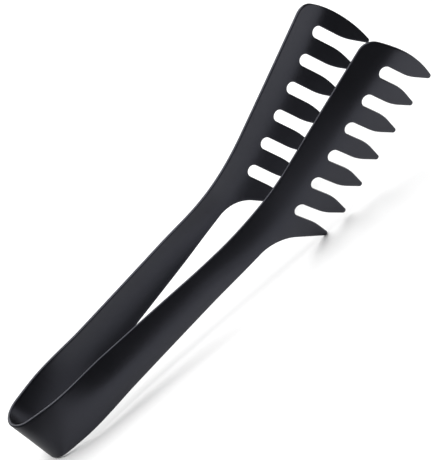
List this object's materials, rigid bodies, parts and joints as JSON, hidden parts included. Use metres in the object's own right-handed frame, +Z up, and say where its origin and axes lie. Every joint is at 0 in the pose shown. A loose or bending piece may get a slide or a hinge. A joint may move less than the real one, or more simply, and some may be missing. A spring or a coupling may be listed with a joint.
{
  "type": "spring kitchen tongs",
  "caption": "One-piece black nylon spring tongs: a broad strip bent into a springy bow, with ridged handles and toothed comb heads for lifting pasta.",
  "frame": {"origin": "middle of the floor of the object's box, on the surface that the bend's lower rim and the bow-side tine tips rest on", "axes": "+X from the spring bow to the comb heads, +Y from the middle plane to the left arm, +Z up towards the combs' spines"},
  "size_m": [0.3048, 0.0904, 0.083],
  "materials": {
    "black_nylon": "satin black moulded nylon with a fine mould texture"
  },
  "bodies": {
    "bow": {"spring_bow": "black_nylon"},
    "left_arm": {"left_handle": "black_nylon", "left_comb": "black_nylon"},
    "right_arm": {"right_handle": "black_nylon", "right_comb": "black_nylon"}
  },
  "joints": [
    {"name": "left_arm_flex", "type": "hinge", "parent": "bow", "child": "left_arm", "pos_m": [-0.12002, 0.01809, 0.02004], "axis": [0.089, 0, -0.996], "range_deg": [-3, 7.4], "stiffness_Nm_per_rad": 1.6},
    {"name": "right_arm_flex", "type": "hinge", "parent": "bow", "child": "right_arm", "pos_m": [-0.12002, -0.01809, 0.02004], "axis": [-0.089, 0, 0.996], "range_deg": [-3, 7.4], "stiffness_Nm_per_rad": 1.6}
  ],
  "couplings": [
    {"joint": "right_arm_flex", "follows": "left_arm_flex", "ratio": 1}
  ]
}
